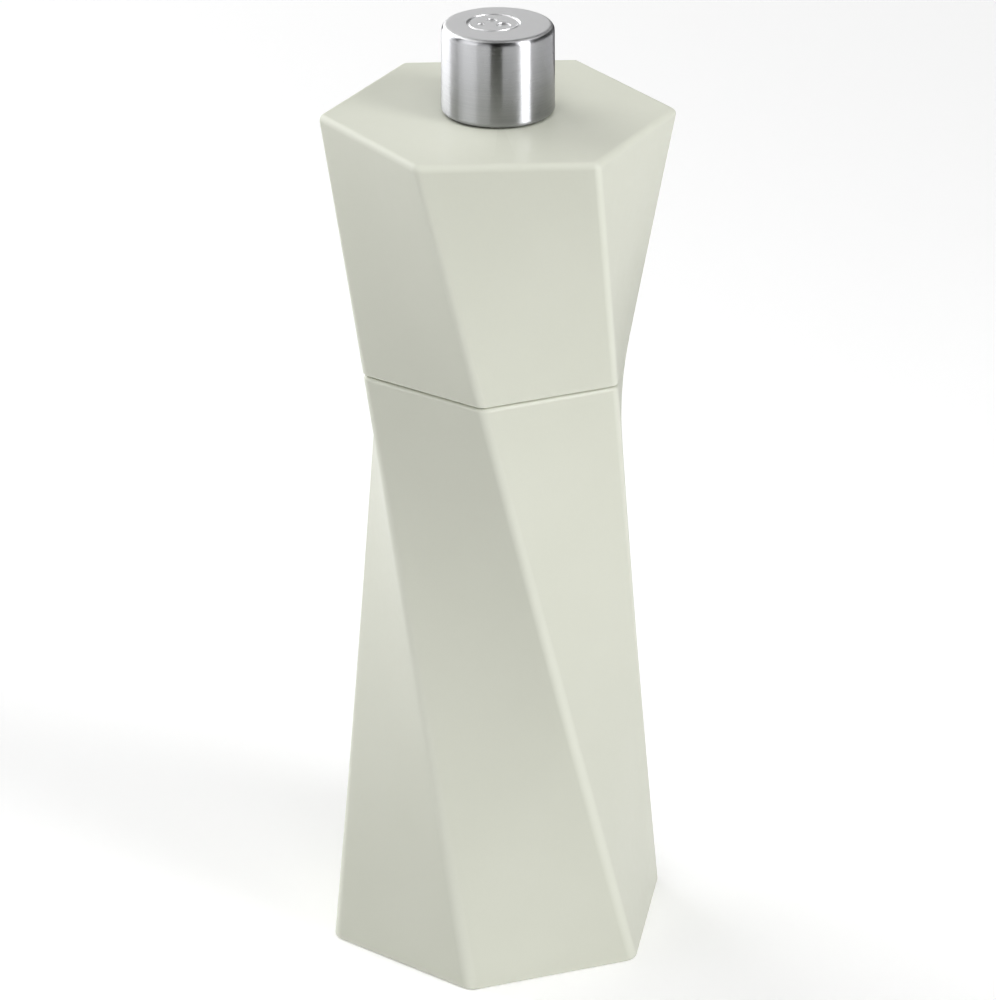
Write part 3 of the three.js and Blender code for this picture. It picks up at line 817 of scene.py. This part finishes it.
def rotor():
    """The inner grinding cone, with a square socket for the spindle."""
    depth = 0.6

    def reach(z):
        return grind_radius(z) - GRIND_GAP - depth

    middle = (GRIND_ZONE_TOP + ROTOR_HIGH) / 2
    edge = 0.35
    sections = toothed([
        (ROTOR_LOW, reach(ROTOR_LOW) - edge, depth, fine_teeth, 0),
        (ROTOR_LOW + edge, reach(ROTOR_LOW + edge), depth, fine_teeth, -0.03),
        (GRIND_ZONE_TOP, reach(GRIND_ZONE_TOP), depth, fine_teeth, -0.4),
        (GRIND_ZONE_TOP + 0.8, 8.6, 2.6, feed_flutes, -0.45),
        (middle, 7.4, 2.4, feed_flutes, -0.8),
        (ROTOR_HIGH - 0.3, 6.64, 0.1, feed_flutes, -1.08),
        (ROTOR_HIGH, 6.3, 0, feed_flutes, -1.1),
    ])
    cone = skin("rotor_cone", sections, HARD_STEEL)
    square_hole = square(SQUARE_HOLE)
    socket = rod("socket", square_hole, SQUARE_LOW - 0.1, ROTOR_HIGH + PAST, HARD_STEEL)
    hole = rod("hole", STUB_HOLE_R, ROTOR_LOW - PAST, SQUARE_LOW, HARD_STEEL)
    cut(cone, socket, hole)
    return place(smooth(cone, 25), "drive", "hardened_steel", "rotor")


def width_along_y(node):
    """A CAD node's whole width along Y, in millimetres."""
    low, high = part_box(node)
    return (high.y - low.y) / MM


def bridge():
    """A strap of bent sheet, with its feet rounded to the stator's edge."""
    reach, thickness, outer_bend = 13.3, 0.9, 2
    foot_r, low, top = span("bridge")
    width = width_along_y("bridge")
    inner = reach - thickness
    inner_bend = outer_bend - thickness
    foot_end = foot_r + PAST
    half = [(inner, low), (foot_end, low), (foot_end, low + thickness), (reach, low + thickness)]
    half += arc(reach - outer_bend, top - outer_bend, outer_bend, 0, 90)
    under = arc(reach - outer_bend, top - outer_bend, inner_bend, 90, 0)
    outline = half + mirrored(half) + mirrored(under) + under
    sections = [[(x, y, z) for x, z in outline] for y in (width / 2, -width / 2)]
    strap = skin("bent_bridge", sections, PLATED_STEEL)
    disc = rod("disc", foot_r, low - PAST, top + PAST, PLATED_STEEL, segments=120)
    cut(strap, disc, operation="INTERSECT")
    spindle_hole_r = 4.7
    cut(strap, rod("hole", spindle_hole_r, top - 3, top + PAST, PLATED_STEEL, segments=72))
    bevelled(strap, 0.12)
    return place(smooth(strap), "mill_body", "plated_steel", "bridge")


def mirrored(outline):
    """The other half of an (x, z) outline, from its far end back to the middle."""
    return [(-x, z) for x, z in reversed(outline)]


def arc(x, z, radius, start, end, steps=8):
    """Points of an arc round (x, z), from a start to an end in degrees."""
    angles = [math.radians(start + i / steps * (end - start)) for i in range(steps + 1)]
    return [(x + radius * math.cos(a), z + radius * math.sin(a)) for a in angles]


def retaining_plate():
    """The ring under the grinder that three screws hold."""
    plate = collar(
        "base_plate", PLATE_R, PLATE_HOLE_R, PLATE_LOW, PLATE_HIGH, PLATED_STEEL,
        edge=0.2, segments=180,
    )
    holes = [screw_hole(f"plate_screw_{i}", PLATE_LOW, PLATE_HIGH) for i in (1, 2, 3)]
    cut(plate, *holes)
    return place(smooth(plate), "mill_body", "plated_steel", "retaining_plate")


def screw_hole(node, low, high):
    """A tool for the hole that a screw passes through."""
    hole = rod("hole", SCREW_HOLE_R, low - PAST, high + PAST, PLATED_STEEL, segments=32)
    return shift(hole, *axis_of(node))


def axis_of(node):
    """Where a node's upright axis is, in millimetres."""
    low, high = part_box(node)
    return (low.x + high.x) / 2 / MM, (low.y + high.y) / 2 / MM


def screw(node, underside, angle, body):
    """A pan-head wood screw that points up, with a cross recess turned by the angle."""
    head_r, low, high = span(node)
    root_r = SHANK_R - 0.2
    root_top = underside + 1
    corners = [
        (0, low, 0), (head_r * 0.78, low, 0.5), (head_r, low + 0.62, 0.25),
        (head_r, underside, 0.05), (root_r, underside, 0), (root_r, root_top, 0), (0, root_top, 0),
    ]
    head = lathe("head", rounded(corners, closed=False), PLATED_STEEL, segments=48, closed=False)
    blade_width = 0.55
    for turn in (0, TURN / 4):
        blade = box_tool(head_r * 1.15, blade_width, low - 0.2, low + 0.85, 0.45, PLATED_STEEL)
        blade.data.transform(Matrix.Rotation(angle + turn, 4, "Z"))
        cut(head, blade)
    bevelled(head, 0.04, angle=50)
    shank = threaded("shank", SHANK_R, 1.0, underside, high, PLATED_STEEL, segments=24)
    head.name = "pan_" + node
    combine(head, shank)
    shift(head, *axis_of(node))
    return place(smooth(head), body, "plated_steel", node)


glide_ring()
stator()
rotor()
bridge()
retaining_plate()
for index, angle in enumerate((0.4, 1.1, 0.75), start=1):
    screw(f"plate_screw_{index}", PLATE_LOW - 0.1, angle, "mill_body")


# ---- The spindle and what is on it -------------------------------------------
def spindle():
    """The square bar, with the knob's thread at its top and the nut's thread at its foot."""
    edge = 0.5
    profile = square(SPINDLE_SIDE, 0.7)
    levels = [
        (SQUARE_LOW, -edge), (SQUARE_LOW + edge, 0),
        (SQUARE_HIGH - edge, 0), (SQUARE_HIGH, -edge),
    ]
    sections = [circle(offset(profile, grown), z, SQUARE_SEGMENTS) for z, grown in levels]
    bar = skin("square_spindle", sections, PLATED_STEEL)
    top_low = SQUARE_HIGH - 1
    top = threaded("top", THREAD_R, THREAD_PITCH, top_low, SPINDLE_HIGH, PLATED_STEEL)
    stub_low = -SQUARE_LOW - 1
    stub = threaded("stub", STUB_R, STUB_PITCH, stub_low, -SPINDLE_LOW, PLATED_STEEL)
    stub.data.transform(Matrix.Rotation(TURN / 2, 4, "X"))
    combine(bar, top, stub)
    return place(smooth(bar), "drive", "plated_steel", "spindle")


def rotor_washer():
    """The flat washer between the rotor and its nut."""
    radius, low, high = span("rotor_washer")
    washer = collar("flat_washer", radius, STUB_HOLE_R, low, high, PLATED_STEEL)
    return place(smooth(washer), "drive", "plated_steel", "rotor_washer")


def rotor_nut():
    """A hexagon nut, with the corners of both faces turned off."""
    low, high = span("rotor_nut")[1:]
    across = width_along_y("rotor_nut")
    side = hexagon(across)
    segments = 144
    rise = 0.45
    sections = []
    for z in (low, low + rise / 2, low + rise, high - rise, high - rise / 2, high):
        short = max(rise - (z - low), rise - (high - z), 0)
        most = across / math.sqrt(3) - short * 1.3
        sections.append(circle(lambda angle, most=most: min(side(angle), most), z, segments))
    bore_r = STUB_R + 0.05
    mouth = 0.3
    bore = [
        (bore_r + mouth, high), (bore_r, high - mouth), (bore_r, low + mouth), (bore_r + mouth, low),
    ]
    sections += [circle(radius, z, segments) for radius, z in bore]
    nut = skin("hex_nut", sections, PLATED_STEEL, ring=True)
    return place(smooth(nut, 25), "drive", "plated_steel", "rotor_nut")


def spring_washer():
    """The washer that the top of the spring turns with."""
    radius, low, high = span("spring_washer")
    washer = collar("spring_cup", radius, square(SQUARE_HOLE), low, high, PLATED_STEEL)
    return place(smooth(washer), "spring_seat", "plated_steel", "spring_washer")


def spring():
    """A compression spring with closed ends, between the rotor and its washer."""
    wire_r, radius, turns = 0.45, 5.1, 6.5
    steps_per_turn, wire_segments = 40, 14
    low, high = span("spring")[1:]
    low_end = low + wire_r
    closed_pitch = 2 * wire_r + 0.1
    open_pitch = (high - low - 2 * wire_r - 2 * closed_pitch) / (turns - 2)
    steps = round(turns * steps_per_turn)
    up = Vector((0, 0, 1))
    sections = []
    for i in range(steps + 1):
        turn = i / steps * turns
        closed = min(turn, 1) + max(turn - (turns - 1), 0)
        z = low_end + closed * closed_pitch + min(max(turn - 1, 0), turns - 2) * open_pitch
        out = Vector((math.cos(turn * TURN), math.sin(turn * TURN), 0))
        section = []
        for k in range(wire_segments):
            around = -k / wire_segments * TURN
            side = math.cos(around) * out + math.sin(around) * up
            section.append(radius * out + z * up + wire_r * side)
        sections.append(section)
    wire = smooth(skin("coil_spring", sections, SPRING_STEEL))
    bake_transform(wire)
    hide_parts("spring")


spindle()
rotor_washer()
rotor_nut()
spring_washer()
spring()


# ---- The plate that drives the spindle, and the knob's inside ----------------
def drive_plate():
    """The disc in the head's tenon whose square hole turns the spindle."""
    radius, low, high = span("drive_plate")
    plate = collar(
        "square_plate", radius, square(SQUARE_HOLE), low, high, PLATED_STEEL,
        edge=0.15, segments=144,
    )
    cut(plate, *[screw_hole(f"drive_screw_{i}", low, high) for i in (1, 2)])
    return place(smooth(plate), "head", "plated_steel", "drive_plate")


def knob_washer():
    """The nylon washer that the knob turns on."""
    radius, low, high = span("knob_washer")
    hole_r = 3.2
    corners = [(hole_r, low, 0.15), (radius, low, 0.3), (radius, high, 0.3), (hole_r, high, 0.15)]
    washer = lathe("nylon_washer", rounded(corners), NYLON)
    return place(smooth(washer), "knob_seat", "nylon", "knob_washer")


def knob_core():
    """The moulded plug in the cap. Its underside has pockets between ribs, round the brass insert."""
    radius, low, high = span("knob_core")
    insert_r = span("knob_insert")[0] + 0.3
    insert_top = span("knob_insert")[2] + 0.1
    bore_top = insert_top + 3
    inside = [
        (0, bore_top), (INSERT_BORE_R, bore_top), (INSERT_BORE_R, insert_top),
        (insert_r, insert_top),
    ]
    corners = [(insert_r, low, 0.2), (radius, low, 0.4), (radius, high, 0.4), (0, high, 0)]
    outside = rounded([(insert_r, insert_top, 0), *corners], closed=False)[1:]
    plug = lathe("knob_plug", inside + outside, BLACK_PLASTIC, closed=False)
    ribs = 8
    pockets = []
    for i in range(ribs):
        pockets.append(pocket(5.2, radius - 0.9, low, insert_top - 1.5, i / ribs * TURN, 0.29))
    cut(plug, *pockets)
    return place(smooth(plug), "knob", "black_plastic", "knob_core")


def pocket(inner, outer, low, high, angle, half):
    """A tool for a pocket between two ribs, open at its low end. It faces the angle, and its outer
    wall reaches the half angle to each side of it."""
    steps = [-1, -0.5, 0, 0.5, 1]
    outline = [(outer, angle + half * share) for share in steps]
    outline += [(inner, angle + half * 0.8 * share) for share in reversed(steps)]
    flat = [(r * math.cos(a), r * math.sin(a)) for r, a in outline]
    sections = [[(x, y, z) for x, y in flat] for z in (low - PAST, high)]
    return skin("pocket", sections, BLACK_PLASTIC)


def knob_insert():
    """The brass bush, with its thread cut inside."""
    radius, low, high = span("knob_insert")
    segments = 96
    edge = 0.25
    knurls, knurl_depth = 24, 0.14
    crest_r, thread_depth = 2.55, 0.35
    chamfer = 0.5

    def knurl(angle):
        return radius - knurl_depth * abs(2 * (angle * knurls / TURN % 1) - 1)

    outside = [
        (radius - edge, low), (knurl, low + edge), (knurl, high - edge), (radius - edge, high),
    ]
    sections = [circle(r, z, segments) for r, z in outside]
    steps = round((high - low) / THREAD_PITCH * THREAD_STEPS)
    for i in range(steps + 1):
        z = high - i / steps * (high - low)
        mouth = INSERT_BORE_R + max(chamfer - (z - low), chamfer - (high - z), 0)

        def crest(angle):
            phase = (z / THREAD_PITCH - angle / TURN) % 1
            return max(crest_r + thread_depth * abs(2 * phase - 1), mouth)

        sections.append(circle(crest, z, segments))
    bush = skin("brass_insert", sections, BRASS, ring=True)
    return place(smooth(bush, 50), "knob", "brass", "knob_insert")


drive_plate()
for index, angle in enumerate((0.2, 1.3), start=1):
    screw(f"drive_screw_{index}", span("drive_plate")[1] - 0.1, angle, "head")
knob_washer()
knob_core()
knob_insert()


# ---- Camera, floor and light -------------------------------------------------
CAMERA_AZIMUTH = math.radians(-2.94)
CAMERA_ELEVATION = math.radians(24.0)
CAMERA_DISTANCE = 0.9737
CAMERA_TARGET = Vector((0, 0, 0.08633))
CAMERA_LENS = 187.5
LIGHT_TARGET = Vector((0, 0, 0.09))
LIGHT_DISTANCE = 1.3
SHEET_HALF = 6.0
ABOVE_FLOOR = 0.0005
# The fade's two distances are in millimetres, as all lengths in a material are.
FADE_START = 380
FADE_END = 950


def direction(azimuth, elevation):
    """A unit vector that points from the mill, by azimuth from -Y towards +X and elevation."""
    flat = math.cos(elevation)
    return Vector((math.sin(azimuth) * flat, -math.cos(azimuth) * flat, math.sin(elevation)))


def add_to_stage(name, data):
    """A new object that isn't part of the mill."""
    thing = bpy.data.objects.new(name, data)
    bpy.context.scene.collection.objects.link(thing)
    return thing


def add_camera():
    """A long lens that looks down at the mill."""
    data = bpy.data.cameras.new("camera")
    data.lens = CAMERA_LENS
    data.clip_start = 0.01
    data.clip_end = 20
    camera = add_to_stage("camera", data)
    back = direction(CAMERA_AZIMUTH, CAMERA_ELEVATION)
    camera.location = CAMERA_TARGET + back * CAMERA_DISTANCE
    camera.rotation_euler = (-back).to_track_quat("-Z", "Y").to_euler()
    bpy.context.scene.camera = camera


def add_surface(name, points, faces, finish):
    """A surface of the stage, from points in metres."""
    mesh = bpy.data.meshes.new(name)
    mesh.from_pydata(points, [], faces)
    mesh.materials.append(finish.material)
    surface = add_to_stage(name, mesh)
    return surface


def add_sheet(name, height, finish):
    """A large level square."""
    signs = [(-1, -1), (1, -1), (1, 1), (-1, 1)]
    corners = [(x * SHEET_HALF, y * SHEET_HALF, height) for x, y in signs]
    return add_surface(name, corners, [(0, 1, 2, 3)], finish)


def add_floor():
    """White paper that glows a little."""
    finish = Finish("floor_paper", roughness=0.9, specular_ior_level=0.1, emission_strength=0.15)
    finish.set("emission color", (1, 1, 1))
    fleck = finish.noise(finish.position(), 0.3)
    finish.set("base color", finish.blend(fleck, (0.93, 0.93, 0.93), (0.95, 0.95, 0.95)))
    add_sheet("floor", 0, finish)


def add_veil():
    """Fades the floor into white away from the mill, where the lights don't reach. It lights
    nothing and isn't reflected."""
    finish = Finish("white_veil", specular_ior_level=0.0, emission_strength=1.0)
    finish.set("base color", (0, 0, 0))
    finish.set("emission color", (1, 1, 1))
    inputs = {"Vector": finish.position()}
    distance = finish.node("VectorMath", inputs, output="Value", operation="LENGTH")
    finish.set("alpha", finish.spread(distance, FADE_START, FADE_END))
    veil = add_sheet("veil", ABOVE_FLOOR, finish)
    veil.visible_diffuse = False
    veil.visible_glossy = False
    veil.visible_transmission = False
    veil.visible_shadow = False


def add_light(name, azimuth, elevation, width, height, power, distance=LIGHT_DISTANCE):
    """A soft box: its direction in degrees, its size in metres and its power in watts. The azimuth
    is counted from the camera, to the camera's right."""
    data = bpy.data.lights.new(name, "AREA")
    data.shape = "RECTANGLE"
    data.size = width
    data.size_y = height
    data.energy = power
    light = add_to_stage(name, data)
    away = direction(CAMERA_AZIMUTH + math.radians(azimuth), math.radians(elevation))
    light.location = LIGHT_TARGET + away * distance
    light.rotation_euler = away.to_track_quat("Z", "Y").to_euler()
    return light


def add_card(*placed, distance=LIGHT_DISTANCE):
    """A white card, placed as a soft box is. It shows only in reflections."""
    add_light(*placed, distance=distance).visible_diffuse = False


def add_world():
    """White beyond the floor. It lights nothing."""
    world = bpy.data.worlds.new("studio")
    world.use_nodes = True
    background = world.node_tree.nodes["Background"]
    background.inputs["Color"].default_value = (1, 1, 1, 1)
    background.inputs["Strength"].default_value = 1.0
    bpy.context.scene.world = world
    seen_by = world.cycles_visibility
    seen_by.diffuse = False
    seen_by.glossy = False
    seen_by.transmission = False
    seen_by.scatter = False


def add_flag(name, azimuth, start, end, width, high):
    """A black card that shows only in reflections, as the dark stripes that bright metal needs. It
    lies on the floor from the start to the end, and stands up there. The width is the one at the
    end."""
    middle = direction(CAMERA_AZIMUTH + math.radians(azimuth), 0)
    right = Vector((-middle.y, middle.x, 0)) * width / 2
    up = Vector((0, 0, 1))
    lifted = up * 2 * ABOVE_FLOOR
    near = [middle * start + side * right * start / end + lifted for side in (-1, 1)]
    bend = [middle * end + side * right + lifted for side in (1, -1)]
    top = [point + up * high for point in bend]
    finish = Finish("flag_cloth", roughness=0.95, specular_ior_level=0.0)
    weave = finish.noise(finish.position(), 0.8)
    finish.set("base color", finish.blend(weave, (0.01, 0.01, 0.01), (0.02, 0.02, 0.02)))
    flag = add_surface(name, [*near, *bend, *top], [(0, 1, 2, 3), (3, 2, 4, 5)], finish)
    flag.visible_camera = False
    flag.visible_diffuse = False
    flag.visible_shadow = False


add_camera()
add_floor()
add_veil()
add_flag("front_flag", -3, 0.05, 0.3, 0.125, 0.6)
add_flag("side_flag", 158, 0.05, 0.4, 0.1, 0.6)
add_world()
add_light("key", 56, 27, 0.45, 1.0, 8.9)
add_light("rim", -130, 20, 1.0, 1.3, 14.6)
add_light("front", 0, 58, 0.9, 0.7, 5.3).visible_glossy = False
add_light("front_left", -70, 26, 0.8, 0.7, 1.1).visible_glossy = False
add_light("left_top", -95, 60, 0.8, 0.6, 2.1)
add_light("right_top", 95, 60, 0.9, 0.6, 1.6)
add_light("overhead", 0, 90, 0.8, 0.8, 2.2).visible_glossy = False
add_card("key_card", 57, 12, 0.42, 0.6, 4)
add_card("left_card", -64, 20, 0.95, 0.8, 3.2)
add_card("front_left_card", -45, 20, 1.4, 0.8, 2.6)
add_card("back_card", 180, 26, 1.6, 0.7, 2.9, distance=1.4)
bpy.context.scene.view_settings.view_transform = "Standard"
